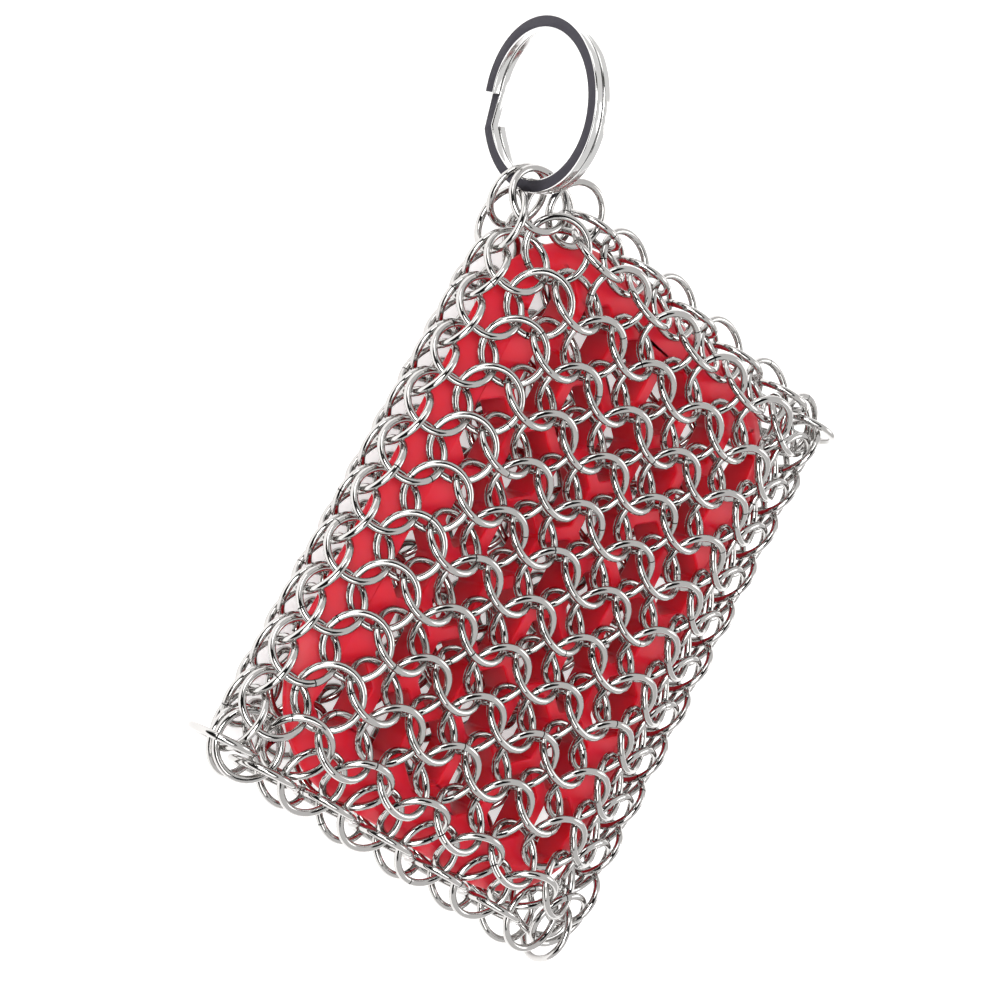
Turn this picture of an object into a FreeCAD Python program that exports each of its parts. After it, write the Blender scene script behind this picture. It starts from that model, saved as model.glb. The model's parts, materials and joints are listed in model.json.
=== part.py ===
import FreeCAD, Part
import math
import os

# Chain-mail pot scrubber: a bag of linked wire rings round a moulded honeycomb core,
# hung on a split ring at one corner. Millimetres. X runs along the length toward the
# split ring, Y across, Z up; the origin is the middle of the underside.

doc = FreeCAD.newDocument("pot_scrubber")
sheet = doc.addObject("Spreadsheet::Sheet", "sizes")

sizes = [
    ("ring_outer", 10.5),
    ("core_clearance", 0.3),
    ("core_side_room", 1.85),
    ("core_end_room", 1.3),
    ("core_rim", 0.7),
    ("core_shoulder", 4.4),
    ("shoulder_side_inset", 3.4),
    ("shoulder_end_inset", 1.6),
    ("face_side_inset", 6.0),
    ("face_end_inset", 3.0),
    ("core_corner", 18.0),
    ("core_frame", 5.4),
    ("rib_width", 2.0),
    ("cell_corner", 0.7),
    ("split_outer", 25.0),
    ("split_wire_width", 2.0),
    ("split_wire_height", 1.2),
    ("split_turn_gap", 0.15),
    ("jog_angle", 24.0),
]
for row, (name, value) in enumerate(sizes, start=1):
    sheet.set("A%d" % row, name)
    sheet.set("B%d" % row, str(value))
    sheet.setAlias("B%d" % row, name)
doc.recompute()

# The weave as shares of a ring's mean radius. The wire follows the ring, so the links
# keep their room whatever the ring's size.
wire_share = 0.105
spacing_share = 2.532
pitch_share = 0.836
height_share = 1.340
flat_start_share = 4.106
end_reach_share = 2.553
flat_lean = math.radians(26)

# Rings round a long side, counted from the standing ring on the edge inward.
side_in_shares = [0, -0.474, -1.645, -2.843]
side_up_shares = [0, 0.640, 1.162, 1.362]
side_roll = [0, 65.0, 67.4, 84.9]
side_lean = [-9.8, 16.2, 16.8, 30.6]

# Loops toward a short end, counted from the fold.
end_in_shares = [0, -0.304, -0.838, -1.587]
end_up_shares = [0, 0.706, 1.026, 1.321]
end_lean = [-90.0, -14.9, -44.8, 24.2]

loops = 24
around = 13
side_rings = 4
end_loops = 4
fixed_from = 5

ring_outer = sheet.ring_outer
ring_wire = ring_outer * wire_share
radius = (ring_outer - ring_wire) / 2
spacing = spacing_share * radius
pitch = pitch_share * radius
sheet_height = height_share * radius
half_width = flat_start_share * radius + (around - 2 * side_rings) * spacing / 4
flat_x = (loops + 1 - 2 * end_loops) / 2 * pitch
fold_x = flat_x + end_reach_share * radius
crest = side_up_shares[-1] * radius
crest_swing = radius * math.sin(math.radians(side_lean[-1]))
half_thickness = crest + crest_swing + ring_wire / 2

Vector = FreeCAD.Vector
up = Vector(0, 0, 1)
askew = Vector(1, 0.3, 0.2)

# Where the loose rings stand: the corner ring beyond the last fold ring, and the split
# ring in place of the standing ring at the hung corner, pulling two rings outward.
corner_key = (1, 0, 1)
corner_step_share = 0.275
split_key = (0, 1, 1)
hang_direction = Vector(0.867, 0.498, 0).normalize()
hang_in_shares = (0.25, 0.1)
hang_pull_share = 0.32
step_angle = 106
split_axis = up.cross(hang_direction)
split_mean = (sheet.split_outer - sheet.split_wire_width) / 2
split_height = 2 * sheet.split_wire_height + sheet.split_turn_gap
split_half = math.hypot(sheet.split_wire_width, split_height) / 2
split_lift = sheet.split_outer / 2 - half_thickness
split_reach = math.sqrt(split_mean ** 2 - split_lift ** 2)

# How the crowded end rings are eased apart: the room a wire keeps and the share of a
# shortfall made up at each turn.
room_share = 0.16
step_share = 0.35
settled_share = 0.02
sample_count = 36
settle_turns = 260
closing_turns = 3


# One ring of the weave as centre and normal. Place counts half spacings from the +Y
# side; face is +1 on top and -1 below.
def ring_pose(loop, place, face):
    kind = 1 if loop % 2 else -1
    near = place <= around / 2
    inward = place if near else around - place
    if inward < side_rings:
        y = half_width + side_in_shares[inward] * radius
        z = side_up_shares[inward] * radius
        roll = math.radians(side_roll[inward])
        lean = math.radians(side_lean[inward])
    else:
        y = half_width - flat_start_share * radius - (inward - side_rings) * spacing / 2
        z = sheet_height
        roll = math.pi / 2
        lean = flat_lean
    lean *= kind
    if loop >= end_loops:
        x = flat_x - (loop - end_loops) * pitch
    else:
        x = fold_x + end_in_shares[loop] * radius
        flatness = end_up_shares[loop] * radius / sheet_height
        z *= flatness
        roll = math.pi / 2 - (math.pi / 2 - roll) * flatness
        lean = math.radians(end_lean[loop]) * abs(lean) / flat_lean
        if inward == 0:
            roll = 0
            lean = 0
    if not near:
        y = -y
        roll = math.pi - roll
    z *= face
    roll *= face
    outward = Vector(0, math.cos(roll), math.sin(roll))
    along = Vector(0, -math.sin(roll), math.cos(roll))
    level = Vector(1, 0, 0) * math.cos(lean) + outward * math.sin(lean)
    return [Vector(x, y, z), along.cross(level).normalize()]


# The places of one loop: a standing ring on one side, then pairs above and below.
def loop_places(loop):
    odd = loop % 2
    standing = 0 if odd else around
    places = [(loop, standing, 1)]
    for place in range(2 if odd else 1, around, 2):
        places.append((loop, place, 1))
        places.append((loop, place, -1))
    return places


# The rings standing across a short end, each between two rings of the first loop.
def fold_pose(place):
    before = ring_pose(1, place - 1, 1)[0].y
    if place == around:
        y = before - corner_step_share * spacing
    else:
        y = (before + ring_pose(1, place + 1, 1)[0].y) / 2
    return [Vector(fold_x, y, 0), Vector(1, 0, 0)]


# The split ring's turns taken together, as one round wire standing at the corner.
def split_pose():
    spot = Vector(fold_x - hang_in_shares[0] * radius, half_width + hang_in_shares[1] * radius, 0)
    centre = spot + hang_direction * split_reach + up * split_lift
    return [centre, split_axis]


# A ring's mean radius and half its wire; the split ring is the only one that differs.
def ring_size(key):
    if key == split_key:
        return split_mean, split_half
    return radius, ring_wire / 2


# The closest points of two rings, from points along the first and then by turns.
def closest(first, second, points, first_radius, second_radius):
    centre, normal = second
    best = None
    for point in points:
        away = point - centre
        rise = away.dot(normal)
        reach = math.sqrt(max(away.dot(away) - rise * rise, 0)) - second_radius
        lack = rise * rise + reach * reach
        if best is None or lack < best[0]:
            best = (lack, point)
    point = best[1]
    for turn in range(closing_turns):
        other = on_ring(second, point, second_radius)
        point = on_ring(first, other, first_radius)
    return point, other


def on_ring(ring, point, reach):
    centre, normal = ring
    away = point - centre
    flat = away - normal * away.dot(normal)
    return centre + flat.normalize() * reach


def ring_points(ring, reach):
    centre, normal = ring
    side = normal.cross(askew).normalize()
    across = normal.cross(side)
    points = []
    for step in range(sample_count):
        angle = 2 * math.pi * step / sample_count
        points.append(centre + side * (reach * math.cos(angle)) + across * (reach * math.sin(angle)))
    return points


# Rings at a short end are pushed off one another until every wire has room.
def settle(rings):
    names = list(rings)
    held = [name for name in names if name[0] >= fixed_from or name == split_key]
    pairs = []
    for index, name in enumerate(names):
        for other in names[index + 1:]:
            apart = (rings[name][0] - rings[other][0]).Length
            near = apart < ring_size(name)[0] + ring_size(other)[0] + 2 * ring_wire
            if near and not (name in held and other in held):
                pairs.append((name, other))
    for turn in range(settle_turns):
        points = {name: ring_points(rings[name], ring_size(name)[0]) for name in names}
        shifts = {name: Vector() for name in names}
        turns = {name: Vector() for name in names}
        touches = {name: 0 for name in names}
        short = 0
        for name, other in pairs:
            reach, half = ring_size(name)
            other_reach, other_half = ring_size(other)
            here, there = closest(rings[name], rings[other], points[name], reach, other_reach)
            gap = here - there
            lack = half + other_half + ring_wire * room_share - gap.Length
            if lack <= 0:
                continue
            short = max(short, lack)
            push = gap.normalize() * (lack * step_share)
            for ring, spot, force in ((name, here, push), (other, there, push * -1)):
                lever = spot - rings[ring][0]
                shifts[ring] += force
                turns[ring] += lever.cross(force) * (1 / radius ** 2)
                touches[ring] += 1
        if short < ring_wire * settled_share:
            break
        for name in names:
            if name in held or not touches[name]:
                continue
            ease = 1 / math.sqrt(touches[name])
            centre, normal = rings[name]
            turned = normal + turns[name].cross(normal) * ease
            rings[name] = [centre + shifts[name] * ease, turned.normalize()]
    return rings


# The rings of one short end. At the hung end the split ring takes the corner ring's place.
def end_rings(hung):
    rings = {}
    for loop in range(1, fixed_from + 2):
        for key in loop_places(loop):
            rings[key] = ring_pose(*key)
    for place in range(3, around + 1, 2):
        rings[(0, place, 1)] = fold_pose(place)
    if hung:
        del rings[corner_key]
        rings[split_key] = split_pose()
        for face in (1, -1):
            rings[(2, 1, face)][0] += hang_direction * (hang_pull_share * radius)
    return settle(rings)


hung_end = end_rings(True)
far_end = end_rings(False)


# A ring anywhere in the bag. The far half is like the near half turned half round.
def bag_ring(loop, place, face):
    far = loop > loops / 2
    end = far_end if far else hung_end
    if far:
        loop = loops + 1 - loop
        place = around - place
    key = (loop, place, face)
    centre, normal = end[key] if key in end else ring_pose(*key)
    if far:
        centre = Vector(-centre.x, -centre.y, centre.z)
        normal = Vector(-normal.x, -normal.y, normal.z)
    return centre, normal


made = []


def add_torus(name, centre, normal):
    torus = doc.addObject("Part::Torus", name)
    torus.setExpression("Radius1", "sizes.ring_outer * %g" % ((1 - wire_share) / 2))
    torus.setExpression("Radius2", "sizes.ring_outer * %g" % (wire_share / 2))
    turn = FreeCAD.Rotation(up, normal)
    torus.Placement = FreeCAD.Placement(centre + up * half_thickness, turn)
    return torus


def add_node(name, pieces):
    node = pieces[0]
    if len(pieces) > 1:
        node = doc.addObject("Part::Compound", name)
        node.Links = pieces
    node.Label = name
    made.append(node)


# The mail, loop by loop. The far corner's standing ring hangs loose, so it is its own piece.
for loop in range(1, loops + 1):
    tori = []
    for key in loop_places(loop):
        if key == corner_key:
            continue
        torus = add_torus("ring_%d_%d_%s" % (loop, key[1], "top" if key[2] > 0 else "under"), *bag_ring(*key))
        if loop == loops and key[1] == around:
            add_node("corner_ring_far", [torus])
        else:
            tori.append(torus)
    add_node("mail_loop_%02d" % loop, tori)

# The folds at the short ends, and the loose ring on the corner of each.
for name, loop in (("near", 0), ("far", loops + 1)):
    tori = []
    for place in range(3, around + 1, 2):
        spot = place if loop == 0 else around - place
        torus = add_torus("fold_%s_%d" % (name, place), *bag_ring(loop, spot, 1))
        if place == around:
            add_node("corner_ring_%s" % ("right" if loop == 0 else "left"), [torus])
        else:
            tori.append(torus)
    add_node("fold_%s" % name, tori)


# A plain outline with rounded corners, at its own height.
def rounded_outline(name, half_x, half_y, corner, height):
    outline = doc.addObject("Sketcher::SketchObject", name)
    turns = [(1, 1, 0), (-1, 1, 90), (-1, -1, 180), (1, -1, 270)]
    spots = []
    for sign_x, sign_y, start in turns:
        middle = Vector(sign_x * (half_x - corner), sign_y * (half_y - corner), 0)
        circle = Part.Circle(middle, up, corner)
        arc = Part.ArcOfCircle(circle, math.radians(start), math.radians(start + 90))
        outline.addGeometry(arc, False)
        spots.append((arc.StartPoint, arc.EndPoint))
    for index in range(len(spots)):
        outline.addGeometry(Part.LineSegment(spots[index][1], spots[(index + 1) % len(spots)][0]), False)
    outline.Placement = FreeCAD.Placement(Vector(0, 0, height), FreeCAD.Rotation())
    return outline


# A closed outline through the corners, each rounded by an arc.
def add_rounded(sketch, corners, corner_radius):
    ends = []
    for index, corner in enumerate(corners):
        back = (corners[index - 1] - corner).normalize()
        ahead = (corners[(index + 1) % len(corners)] - corner).normalize()
        half_angle = back.getAngle(ahead) / 2
        start = corner + back * (corner_radius / math.tan(half_angle))
        end = corner + ahead * (corner_radius / math.tan(half_angle))
        middle = corner + (back + ahead).normalize() * (corner_radius / math.sin(half_angle) - corner_radius)
        sketch.addGeometry(Part.Arc(start, middle, end), False)
        ends.append((start, end))
    for index in range(len(ends)):
        sketch.addGeometry(Part.LineSegment(ends[index - 1][1], ends[index][0]), False)


# The core: a plate thinned toward its edges, cut through by elongated hexagons.
core_half = crest - crest_swing - ring_wire / 2 - sheet.core_clearance
core_half_x = fold_x - sheet.core_end_room
core_half_y = half_width - sheet.core_side_room
levels = [
    (-core_half, sheet.face_end_inset, sheet.face_side_inset),
    (-sheet.core_shoulder / 2, sheet.shoulder_end_inset, sheet.shoulder_side_inset),
    (-sheet.core_rim / 2, 0, 0),
    (sheet.core_rim / 2, 0, 0),
    (sheet.core_shoulder / 2, sheet.shoulder_end_inset, sheet.shoulder_side_inset),
    (core_half, sheet.face_end_inset, sheet.face_side_inset),
]
outlines = []
for index, (level, end_inset, side_inset) in enumerate(levels):
    outlines.append(
        rounded_outline(
            "core_outline_%d" % (index + 1),
            core_half_x - end_inset,
            core_half_y - side_inset,
            sheet.core_corner - end_inset,
            half_thickness + level,
        )
    )
plate = doc.addObject("Part::Loft", "core_plate")
plate.Sections = outlines
plate.Solid = True
plate.Ruled = True

cell_columns = 6
cell_rows = 7
upright_share = 0.678
slope_share = 1 - upright_share
cell_pitch = (2 * core_half_y - 2 * sheet.core_frame) / cell_columns
row_pitch = (2 * core_half_x - 2 * sheet.core_frame) / (cell_rows + slope_share)
slope_angle = math.atan2(slope_share * row_pitch, cell_pitch / 2)
tip_loss = sheet.rib_width / 2 / math.cos(slope_angle)
half_cell = cell_pitch / 2 - sheet.rib_width / 2
tip = upright_share * row_pitch / 2 + slope_share * row_pitch - tip_loss
shoulder = tip - half_cell * math.tan(slope_angle)
cells = doc.addObject("Sketcher::SketchObject", "core_cells")
for row in range(cell_rows):
    columns = cell_columns - row % 2
    for column in range(columns):
        x = (row - (cell_rows - 1) / 2) * row_pitch
        y = (column - (columns - 1) / 2) * cell_pitch
        corners = [
            Vector(x + tip, y, 0),
            Vector(x + shoulder, y + half_cell, 0),
            Vector(x - shoulder, y + half_cell, 0),
            Vector(x - tip, y, 0),
            Vector(x - shoulder, y - half_cell, 0),
            Vector(x + shoulder, y - half_cell, 0),
        ]
        add_rounded(cells, corners, sheet.cell_corner)
cell_solids = doc.addObject("Part::Extrusion", "core_cell_solids")
cell_solids.Base = cells
cell_solids.DirMode = "Custom"
cell_solids.Dir = up
cell_solids.LengthFwd = 2 * half_thickness
cell_solids.Solid = True
core = doc.addObject("Part::Cut", "silicone_core")
core.Base = plate
core.Tool = cell_solids
core.Label = "silicone_core"
made.append(core)


# The split ring: two flat turns side by side, joined by a sloping step.
def add_turn(name, base):
    outer = doc.addObject("Part::Cylinder", name + "_outer")
    outer.setExpression("Radius", "sizes.split_outer / 2")
    outer.setExpression("Height", "sizes.split_wire_height")
    outer.setExpression("Angle", "360 - sizes.jog_angle")
    inner = doc.addObject("Part::Cylinder", name + "_inner")
    inner.setExpression("Radius", "sizes.split_outer / 2 - sizes.split_wire_width")
    inner.setExpression("Height", "sizes.split_wire_height")
    outer.Placement = FreeCAD.Placement(Vector(0, 0, base), FreeCAD.Rotation())
    inner.Placement = outer.Placement
    turn = doc.addObject("Part::Cut", name)
    turn.Base = outer
    turn.Tool = inner
    return turn


def step_section(name, angle, base):
    section = doc.addObject("Sketcher::SketchObject", name)
    outside = sheet.split_outer / 2
    inside = outside - sheet.split_wire_width
    top = base + sheet.split_wire_height
    corners = [Vector(inside, base, 0), Vector(outside, base, 0), Vector(outside, top, 0), Vector(inside, top, 0)]
    for index in range(len(corners)):
        section.addGeometry(Part.LineSegment(corners[index], corners[(index + 1) % len(corners)]), False)
    stand = FreeCAD.Rotation(Vector(1, 0, 0), 90)
    section.Placement = FreeCAD.Placement(Vector(), FreeCAD.Rotation(up, angle) * stand)
    return section


upper_base = sheet.split_turn_gap / 2
lower_base = -upper_base - sheet.split_wire_height
upper_turn = add_turn("split_upper_turn", upper_base)
lower_turn = add_turn("split_lower_turn", lower_base)
step = doc.addObject("Part::Loft", "split_step")
step.Sections = [
    step_section("step_start", 0, upper_base),
    step_section("step_end", -sheet.jog_angle, lower_base),
]
step.Solid = True
step.Ruled = True
split = doc.addObject("Part::MultiFuse", "split_ring")
split.Shapes = [upper_turn, lower_turn, step]
split.Label = "split_ring"
made.append(split)

# It stands upright through the corner rings of both faces.
split_centre = hung_end[split_key][0] + up * half_thickness
split_stand = FreeCAD.Rotation(hang_direction, split_axis.cross(hang_direction), split_axis, "ZXY")
split_turn = FreeCAD.Rotation(up, step_angle)
split.Placement = FreeCAD.Placement(split_centre, split_stand * split_turn)

doc.recompute()
for item in doc.Objects:
    if "Invalid" in item.State or "Error" in item.State:
        raise RuntimeError("broken: " + item.Label)
os.makedirs("parts", exist_ok=True)
for node in made:
    if node.Shape.isNull() or not node.Shape.isValid():
        raise RuntimeError("bad shape: " + node.Label)
    node.Shape.exportStep("parts/%s.step" % node.Label)
print("wrote", len(made), "parts; core half thickness %.2f" % core_half)
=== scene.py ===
import bpy
import bmesh
import json
import math
import numpy as np
from mathutils import Matrix, Vector

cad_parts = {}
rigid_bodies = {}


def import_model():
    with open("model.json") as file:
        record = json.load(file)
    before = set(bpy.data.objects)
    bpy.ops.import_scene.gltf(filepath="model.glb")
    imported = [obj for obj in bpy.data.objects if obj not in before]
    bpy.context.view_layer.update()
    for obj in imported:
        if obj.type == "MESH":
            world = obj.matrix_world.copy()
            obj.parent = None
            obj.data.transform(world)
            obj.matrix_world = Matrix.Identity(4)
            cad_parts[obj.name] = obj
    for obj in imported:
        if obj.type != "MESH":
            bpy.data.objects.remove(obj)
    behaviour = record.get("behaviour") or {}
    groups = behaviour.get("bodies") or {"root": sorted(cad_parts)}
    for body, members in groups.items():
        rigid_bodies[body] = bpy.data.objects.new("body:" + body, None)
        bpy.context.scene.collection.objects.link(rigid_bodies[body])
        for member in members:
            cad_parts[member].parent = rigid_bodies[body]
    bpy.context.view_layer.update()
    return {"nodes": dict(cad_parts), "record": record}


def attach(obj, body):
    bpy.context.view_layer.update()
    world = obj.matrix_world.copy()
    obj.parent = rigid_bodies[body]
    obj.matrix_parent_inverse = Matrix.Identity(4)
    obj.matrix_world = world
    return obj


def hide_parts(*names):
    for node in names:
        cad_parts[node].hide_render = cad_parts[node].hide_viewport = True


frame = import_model()
nodes = frame["nodes"]
record = frame["record"]
mm = 0.001
mergeDistance = 0.002 * mm
print("frame loaded:", len(nodes), "nodes")


def linearColour(hexText):
    channels = [int(hexText[i:i + 2], 16) / 255 for i in (1, 3, 5)]
    linear = [c / 12.92 if c <= 0.04045 else ((c + 0.055) / 1.055) ** 2.4 for c in channels]
    return (*linear, 1.0)


# adds one shader node: settings are its properties or inputs, links are (output, input)
def addNode(tree, kind, settings=None, links=()):
    node = tree.nodes.new(kind)
    for key, value in (settings or {}).items():
        if key in node.inputs:
            node.inputs[key].default_value = value
        else:
            setattr(node, key, value)
    for output, key in links:
        tree.links.new(output, node.inputs[key])
    return node


def startMaterial(name):
    material = bpy.data.materials.new(name)
    material.use_nodes = True
    material.node_tree.nodes.clear()
    return material, material.node_tree


def endMaterial(tree, shader):
    addNode(tree, "ShaderNodeOutputMaterial", links=[(shader.outputs[0], "Surface")])


# noise on the piece itself, with blotches of about this size in millimetres
def addGrain(tree, size, detail):
    place = addNode(tree, "ShaderNodeTexCoord").outputs["Object"]
    noise = addNode(tree, "ShaderNodeTexNoise", {"Scale": 1 / (size * mm), "Detail": detail},
                    [(place, "Vector")])
    return noise.outputs["Fac"]


# relief from a pattern, of a depth in millimetres
def addRelief(tree, height, strength, depth):
    bump = addNode(tree, "ShaderNodeBump", {"Strength": strength, "Distance": depth * mm},
                   [(height, "Height")])
    return bump.outputs[0]


# from one colour to another by a factor; the Mix node's colour sockets are 6 and 7, and 2 is their mix
def mixColours(tree, factor, first, second):
    mix = addNode(tree, "ShaderNodeMix", {"data_type": "RGBA"}, [(factor, "Factor")])
    mix.inputs[6].default_value = linearColour(first)
    mix.inputs[7].default_value = linearColour(second)
    return mix.outputs[2]


# drawn stainless wire, tumbled bright: streaks run along it, and each ring shows its closed butt joint
polishedWire = dict(colour="#B4B2B0", jointColour="#2B2928", roughness=(0.04, 0.14), jointWidth=0.24,
                    streakLength=4.0, streakWidth=0.16, streakDetail=3, streakRange=(0.35, 0.7),
                    bump=0.08, bumpDepth=0.05)


def makePolishedWire(finish):
    material, tree = startMaterial("polishedStainlessWire")
    run = addNode(tree, "ShaderNodeUVMap", {"uv_map": "alongWire"}).outputs["UV"]
    stretch = addNode(tree, "ShaderNodeMapping", links=[(run, "Vector")])
    stretch.inputs["Scale"].default_value = (1 / finish["streakLength"], 1 / finish["streakWidth"], 1)
    streaks = addNode(tree, "ShaderNodeTexNoise", {"Scale": 1, "Detail": finish["streakDetail"]},
                      [(stretch.outputs[0], "Vector")]).outputs["Fac"]
    low, high = finish["streakRange"]
    smoothest, roughest = finish["roughness"]
    roughness = addNode(tree, "ShaderNodeMapRange",
                        {"From Min": low, "From Max": high, "To Min": smoothest, "To Max": roughest},
                        [(streaks, "Value")])
    along = addNode(tree, "ShaderNodeSeparateXYZ", links=[(run, "Vector")])
    away = addNode(tree, "ShaderNodeMath", {"operation": "ABSOLUTE"}, [(along.outputs["X"], 0)])
    jointHalf = finish["jointWidth"] / 2
    joint = addNode(tree, "ShaderNodeMapRange",
                    {"From Min": jointHalf / 2, "From Max": jointHalf, "To Min": 1, "To Max": 0},
                    [(away.outputs[0], "Value")]).outputs[0]
    colour = mixColours(tree, joint, finish["colour"], finish["jointColour"])
    height = addNode(tree, "ShaderNodeMath", {"operation": "SUBTRACT"}, [(streaks, 0), (joint, 1)])
    relief = addRelief(tree, height.outputs[0], finish["bump"], finish["bumpDepth"])
    shader = addNode(tree, "ShaderNodeBsdfPrincipled", {"Metallic": 1.0},
                     [(colour, "Base Color"), (roughness.outputs[0], "Roughness"), (relief, "Normal")])
    endMaterial(tree, shader)
    return material


# moulded silicone: satin, softly lit from within, a little cloudy, with a fine moulded grain
mouldedSilicone = dict(light="#D01C34", deep="#C61428", cloudSize=14, cloudDetail=2, grainSize=0.35,
                       grainDetail=2, roughness=0.42, ior=1.41, bump=0.1, bumpDepth=0.05,
                       glow=1.0, glowDepth=5.0, glowColours=(1.0, 0.1, 0.08))


def makeSilicone(finish):
    material, tree = startMaterial("mouldedRedSilicone")
    cloud = addGrain(tree, finish["cloudSize"], finish["cloudDetail"])
    tint = mixColours(tree, cloud, finish["deep"], finish["light"])
    grain = addGrain(tree, finish["grainSize"], finish["grainDetail"])
    relief = addRelief(tree, grain, finish["bump"], finish["bumpDepth"])
    shader = addNode(tree, "ShaderNodeBsdfPrincipled",
                     {"Roughness": finish["roughness"], "IOR": finish["ior"],
                      "Subsurface Weight": finish["glow"], "Subsurface Radius": finish["glowColours"],
                      "Subsurface Scale": finish["glowDepth"] * mm},
                     [(tint, "Base Color"), (relief, "Normal")])
    endMaterial(tree, shader)
    return material


# flat spring-steel wire: rolled edges stay bright steel; the flat faces are rougher and carry a painted dark
# reflection, a near-black colour
flatWire = dict(edgeColour="#D0CFCE", paintedDarkFaceColour="#3D3B41", edgeRoughness=0.12, faceRoughness=0.5,
                roughnessShares=(0.8, 1.25), grainSize=0.4, grainDetail=4, bump=0.12, bumpDepth=0.03)


def makeFlatWire(name, colour, roughness, finish):
    material, tree = startMaterial(name)
    grain = addGrain(tree, finish["grainSize"], finish["grainDetail"])
    smoothest, roughest = [roughness * share for share in finish["roughnessShares"]]
    spread = addNode(tree, "ShaderNodeMapRange", {"To Min": smoothest, "To Max": roughest},
                     [(grain, "Value")])
    relief = addRelief(tree, grain, finish["bump"], finish["bumpDepth"])
    shader = addNode(tree, "ShaderNodeBsdfPrincipled",
                     {"Base Color": linearColour(colour), "Metallic": 1.0},
                     [(spread.outputs[0], "Roughness"), (relief, "Normal")])
    endMaterial(tree, shader)
    return material


steelWire = makePolishedWire(polishedWire)
redSilicone = makeSilicone(mouldedSilicone)
splitEdge = makeFlatWire("rolledSpringSteelEdge", flatWire["edgeColour"], flatWire["edgeRoughness"], flatWire)
# the faces' material carries a painted dark reflection in its colour
splitFacePaintedDark = makeFlatWire("springSteelFacePaintedDark", flatWire["paintedDarkFaceColour"], flatWire["faceRoughness"], flatWire)
print("materials made")


def bodyOf(nodeName):
    for body, members in record["behaviour"]["bodies"].items():
        if nodeName in members:
            return body


# a copy of a solid's mesh with its loose triangles joined
def joinedCopy(nodeName):
    bm = bmesh.new()
    bm.from_mesh(nodes[nodeName].data)
    bmesh.ops.remove_doubles(bm, verts=bm.verts, dist=mergeDistance)
    return bm


def addObject(bm, name, materials):
    mesh = bpy.data.meshes.new(name)
    bm.to_mesh(mesh)
    bm.free()
    for material in materials:
        mesh.materials.append(material)
    thing = bpy.data.objects.new(name, mesh)
    bpy.context.scene.collection.objects.link(thing)
    return thing


def finishPiece(bm, name, nodeName, materials):
    piece = addObject(bm, name, materials)
    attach(piece, bodyOf(nodeName))
    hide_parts(nodeName)
    return piece


# rounds the edges of a piece that are sharper than its sharpAngle
def roundEdges(piece, name, edge):
    soften = piece.modifiers.new(name, "BEVEL")
    soften.width = edge["edgeRadius"] * mm
    soften.segments = edge["segments"]
    soften.limit_method = "ANGLE"
    soften.angle_limit = math.radians(edge["sharpAngle"])
    return soften


# the mail: every ring is a closed loop of round wire, drawn from few points and rounded by subdivision
mailRing = dict(sections=10, sides=5, subdivisions=2, jointTurn=2.4)


# a subdivided loop of this many points pulls in to this share of its size
def pullIn(count):
    return (2 + math.cos(2 * math.pi / count)) / 3


# a UV map in millimetres: first along the wire from the joint, then round the wire from the outside
def markAlongWire(bm, reach, ringRadius, wireRadius):
    layer = bm.loops.layers.uv.new("alongWire")
    for face in bm.faces:
        middle = face.calc_center_median()
        for loop in face.loops:
            turns = []
            for spot in (middle, loop.vert.co):
                outward = math.hypot(spot.x, spot.y) - reach
                turns.append((math.atan2(spot.y, spot.x), math.atan2(spot.z, outward)))
            (faceAlong, faceRound), (along, around) = turns
            along = faceAlong + math.remainder(along - faceAlong, 2 * math.pi)
            around = faceRound + math.remainder(around - faceRound, 2 * math.pi)
            loop[layer].uv = (along * ringRadius / mm, around * wireRadius / mm)


def makeRing(ring, ringRadius, wireRadius):
    bm = bmesh.new()
    section = wireRadius / pullIn(ring["sides"])
    widen = 1 / pullIn(ring["sections"])
    stand = Matrix.Translation((ringRadius, 0, 0)) @ Matrix.Rotation(math.pi / 2, 4, "X")
    bmesh.ops.create_circle(bm, segments=ring["sides"], radius=section, matrix=stand)
    bmesh.ops.spin(bm, geom=bm.verts[:] + bm.edges[:], cent=(0, 0, 0), axis=(0, 0, 1), dvec=(0, 0, 0),
                   angle=2 * math.pi, steps=ring["sections"], use_merge=True)
    bmesh.ops.scale(bm, vec=(widen, widen, 1), verts=bm.verts)
    bmesh.ops.remove_doubles(bm, verts=bm.verts, dist=mergeDistance)
    bmesh.ops.recalc_face_normals(bm, faces=bm.faces)
    markAlongWire(bm, ringRadius * widen, ringRadius, wireRadius)
    mesh = bpy.data.meshes.new("ringPattern")
    bm.to_mesh(mesh)
    bm.free()
    return mesh


# each separate ring of a solid, as a list of its points
def ringIslands(bm):
    seen = set()
    islands = []
    for start in bm.verts:
        if start in seen:
            continue
        seen.add(start)
        reached = [start]
        island = []
        while reached:
            vert = reached.pop()
            island.append(vert.co.copy())
            for edge in vert.link_edges:
                other = edge.other_vert(vert)
                if other not in seen:
                    seen.add(other)
                    reached.append(other)
        islands.append(np.array(island))
    return islands


# the torus that a ring's points lie on, by least squares: middle, facing, ring radius and wire radius
def fitRing(points, rounds=5):
    centre = points.mean(0)
    facing = np.linalg.eigh(np.cov((points - centre).T))[1][:, 0]
    ringRadius = np.linalg.norm(points - centre, axis=1).mean()
    for _ in range(rounds):
        away = points - centre
        rise = away @ facing
        flat = away - np.outer(rise, facing)
        reach = np.linalg.norm(flat, axis=1)
        beyond = reach - ringRadius
        wireSquare = beyond ** 2 + rise ** 2
        shift = 2 * (beyond / reach)[:, None] * flat + 2 * np.outer(rise, facing)
        tilt = -2 * (rise * ringRadius / reach)[:, None] * flat
        slopes = np.column_stack([shift, tilt, 2 * beyond, np.ones(len(points))])
        change = np.linalg.lstsq(slopes, wireSquare, rcond=None)[0]
        centre = centre + change[:3]
        facing = facing + change[3:6]
        facing = facing / np.linalg.norm(facing)
        ringRadius = ringRadius + change[6]
    return Vector(centre), Vector(facing), ringRadius, math.sqrt(change[7])


def ringsOf(nodeName):
    bm = joinedCopy(nodeName)
    fits = [fitRing(points) for points in ringIslands(bm)]
    bm.free()
    return fits


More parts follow.
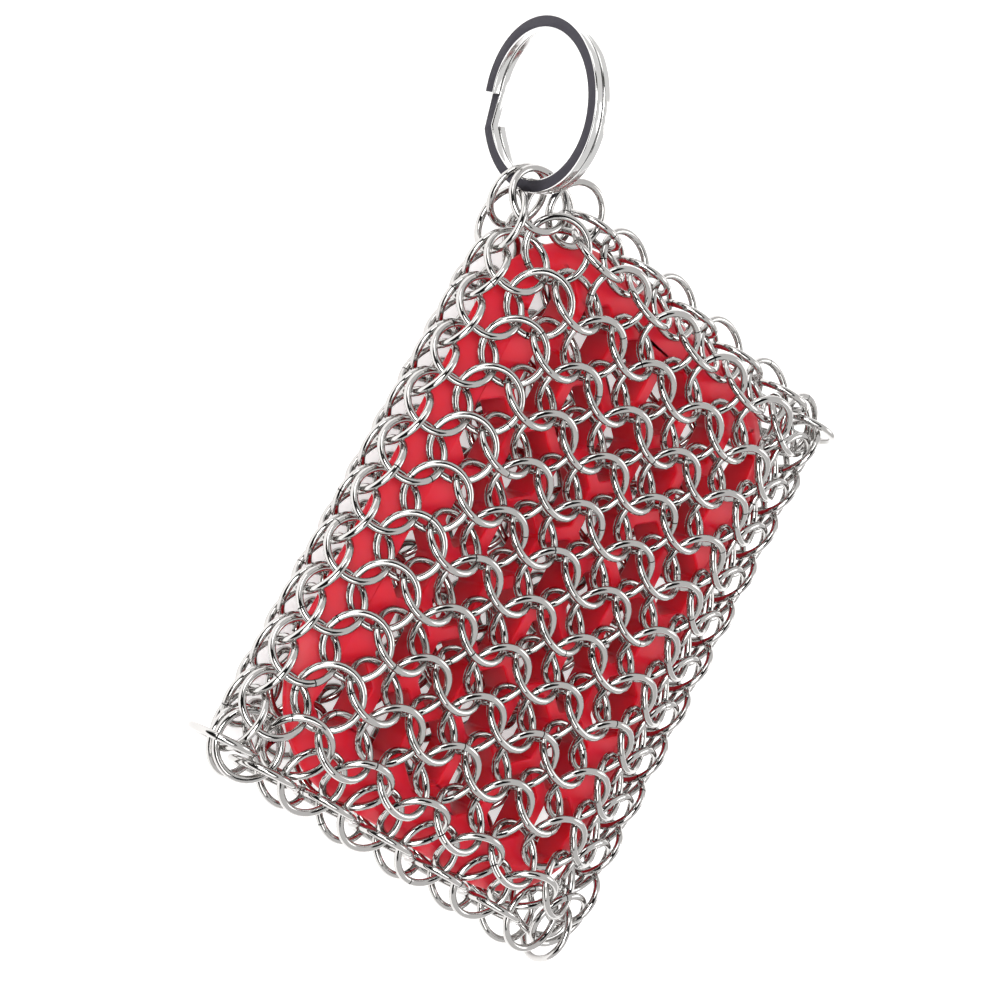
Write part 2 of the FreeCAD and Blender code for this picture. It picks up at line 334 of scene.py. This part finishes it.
ringRadius, wireRadius = ringsOf("corner_ring_far")[0][2:]
ringPattern = makeRing(mailRing, ringRadius, wireRadius)
print("ring of radius %.2f mm, wire radius %.2f mm" % (ringRadius / mm, wireRadius / mm))


# jointTurn, in radians, spreads the joints so that they don't line up from ring to ring
def makeRings(nodeName, ring):
    fits = ringsOf(nodeName)
    bm = bmesh.new()
    for index, fit in enumerate(fits):
        centre, facing = fit[:2]
        turn = facing.to_track_quat("Z", "Y").to_matrix().to_4x4()
        jointAngle = Matrix.Rotation(ring["jointTurn"] * (index + len(bpy.data.objects)), 4, "Z")
        before = len(bm.verts)
        bm.from_mesh(ringPattern)
        bm.verts.ensure_lookup_table()
        bmesh.ops.transform(bm, matrix=Matrix.Translation(centre) @ turn @ jointAngle,
                            verts=bm.verts[before:])
    for face in bm.faces:
        face.smooth = True
    piece = finishPiece(bm, "wire_" + nodeName, nodeName, [steelWire])
    smooth = piece.modifiers.new("roundWire", "SUBSURF")
    smooth.levels = ring["subdivisions"]
    smooth.render_levels = ring["subdivisions"]
    # a modifier after the rounding has Blender measure the round wire, not the wider points it is drawn from
    piece.modifiers.new("plainTriangles", "TRIANGULATE")
    return len(fits)


ringNodes = [name for name in nodes if name not in ("silicone_core", "split_ring")]
ringCount = sum(makeRings(name, mailRing) for name in sorted(ringNodes))
print("mail made:", ringCount, "rings in", len(ringNodes), "pieces")


# the core keeps its solid's form, with softened moulded edges
core = dict(edgeRadius=0.3, segments=2, sharpAngle=25)


def makeCore(core):
    bm = joinedCopy("silicone_core")
    piece = finishPiece(bm, "honeycombCore", "silicone_core", [redSilicone])
    soften = roundEdges(piece, "mouldedEdge", core)
    soften.use_clamp_overlap = False


makeCore(core)
print("core made")


# the split ring: two turns of flat wire, bright steel on the rims, with a painted dark reflection on the
# rougher faces
splitRing = dict(edgeRadius=0.22, segments=3, sharpAngle=40, faceShare=0.8, flatAngle=0.5)


def makeSplitRing(split):
    bm = joinedCopy("split_ring")
    bmesh.ops.dissolve_limit(bm, angle_limit=math.radians(split["flatAngle"]), verts=bm.verts, edges=bm.edges)
    points = np.array([v.co for v in bm.verts])
    axis = Vector(np.linalg.eigh(np.cov((points - points.mean(0)).T))[1][:, 0])
    for face in bm.faces:
        face.smooth = True
        # faces turned along the ring's axis take the material with the painted dark reflection
        face.material_index = 1 if abs(face.normal.dot(axis)) > split["faceShare"] else 0
    piece = finishPiece(bm, "flatWireSplitRing", "split_ring", [splitEdge, splitFacePaintedDark])
    soften = roundEdges(piece, "rolledEdge", split)
    soften.material = 0
    soften.harden_normals = True


makeSplitRing(splitRing)
print("split ring made")


# paper and card in the studio have no shine
mattePaper = {"Roughness": 0.9, "Specular IOR Level": 0.1}

# white paper floor that keeps the shadow, and is paler to the camera and in reflections
paperFloor = dict(size=6.0, colour="#F6F6F6", glow=0.45)


def makeFloor(floor):
    material, tree = startMaterial("whitePaper")
    rays = addNode(tree, "ShaderNodeLightPath")
    seen = addNode(tree, "ShaderNodeMath", {"operation": "MAXIMUM"},
                   [(rays.outputs["Is Camera Ray"], 0), (rays.outputs["Is Glossy Ray"], 1)])
    strength = addNode(tree, "ShaderNodeMath", {"operation": "MULTIPLY"}, [(seen.outputs[0], 0)])
    strength.inputs[1].default_value = floor["glow"]
    shader = addNode(tree, "ShaderNodeBsdfPrincipled",
                     {**mattePaper, "Base Color": linearColour(floor["colour"]),
                      "Emission Color": (1, 1, 1, 1)}, [(strength.outputs[0], "Emission Strength")])
    endMaterial(tree, shader)
    bm = bmesh.new()
    bmesh.ops.create_grid(bm, x_segments=1, y_segments=1, size=floor["size"] / 2)
    sheet = addObject(bm, "paperFloor", [material])


makeFloor(paperFloor)


# soft studio light: a white surround, which lights the object a little less than it shows, and four lamps
studio = dict(
    surround=0.95,
    lamps=[
        dict(name="frontLamp", place=(-0.1, 0.42, 0.52), size=0.3, power=2.6),
        dict(name="keyLamp", place=(-0.35, 0.1, 0.6), size=0.35, power=1.3),
        dict(name="sideLamp", place=(0.35, 0.45, 0.35), size=0.25, power=0.8),
        dict(name="backLamp", place=(0.3, -0.5, 0.4), size=0.3, power=0.8),
    ],
)


def makeLight(studio):
    world = bpy.data.worlds.new("paleStudio")
    bpy.context.scene.world = world
    world.use_nodes = True
    tree = world.node_tree
    tree.nodes.clear()
    rays = addNode(tree, "ShaderNodeLightPath")
    clear = addNode(tree, "ShaderNodeMath", {"operation": "MAXIMUM"},
                    [(rays.outputs["Is Camera Ray"], 0), (rays.outputs["Is Transmission Ray"], 1)])
    seen = addNode(tree, "ShaderNodeMath", {"operation": "MAXIMUM"},
                   [(clear.outputs[0], 0), (rays.outputs["Is Glossy Ray"], 1)])
    strength = addNode(tree, "ShaderNodeMapRange", {"To Min": studio["surround"], "To Max": 1.0},
                       [(seen.outputs[0], "Value")])
    background = addNode(tree, "ShaderNodeBackground", {"Color": (1, 1, 1, 1)},
                         [(strength.outputs[0], "Strength")])
    addNode(tree, "ShaderNodeOutputWorld", links=[(background.outputs[0], "Surface")])
    for lamp in studio["lamps"]:
        light = bpy.data.lights.new(lamp["name"], "AREA")
        light.energy = lamp["power"]
        light.size = lamp["size"]
        holder = bpy.data.objects.new(lamp["name"], light)
        holder.location = lamp["place"]
        holder.rotation_euler = (-Vector(lamp["place"])).to_track_quat("-Z", "Y").to_euler()
        bpy.context.scene.collection.objects.link(holder)


makeLight(studio)
bpy.context.scene.view_settings.view_transform = "Standard"
print("floor and light made")


# the photograph's view: where the lens stands, which way it looks and which way is up in the picture
view = dict(place=(-75.5, 218.1, 279.9), look=(0.23, -0.5894, -0.7744), up=(0.8611, 0.494, -0.1202),
            lens=87.5, sensor=36, nearest=10)


def makeCamera(view):
    lens = bpy.data.cameras.new("photoView")
    lens.sensor_width = view["sensor"]
    lens.lens = view["lens"]
    lens.clip_start = view["nearest"] * mm
    holder = bpy.data.objects.new("photoView", lens)
    back = -Vector(view["look"]).normalized()
    right = Vector(view["up"]).cross(back).normalized()
    turn = Matrix((right, back.cross(right), back)).transposed().to_4x4()
    holder.matrix_world = Matrix.Translation(Vector(view["place"]) * mm) @ turn
    bpy.context.scene.collection.objects.link(holder)
    bpy.context.scene.camera = holder


makeCamera(view)
print("camera set")


# a dark card with an opening round the lens, as is hung to draw dark lines on bright wire
# only reflections show it, so it takes no light from the object and casts no shadow
lensCard = dict(distance=0.9, opening=0.32, reach=1.1, segments=48, colour="#121212")


def makeLensCard(card, view):
    material, tree = startMaterial("blackCard")
    shader = addNode(tree, "ShaderNodeBsdfPrincipled",
                     {**mattePaper, "Base Color": linearColour(card["colour"])})
    endMaterial(tree, shader)
    toward = -Vector(view["look"]).normalized()
    turn = toward.to_track_quat("Z", "Y").to_matrix().to_4x4()
    stand = Matrix.Translation(toward * card["distance"]) @ turn
    bm = bmesh.new()
    for radius in (card["opening"], card["reach"]):
        bmesh.ops.create_circle(bm, segments=card["segments"], radius=radius, matrix=stand)
    bmesh.ops.bridge_loops(bm, edges=bm.edges[:])
    sheet = addObject(bm, "lensCard", [material])
    sheet.visible_camera = False
    sheet.visible_diffuse = False
    sheet.visible_shadow = False


makeLensCard(lensCard, view)
print("lens card made")
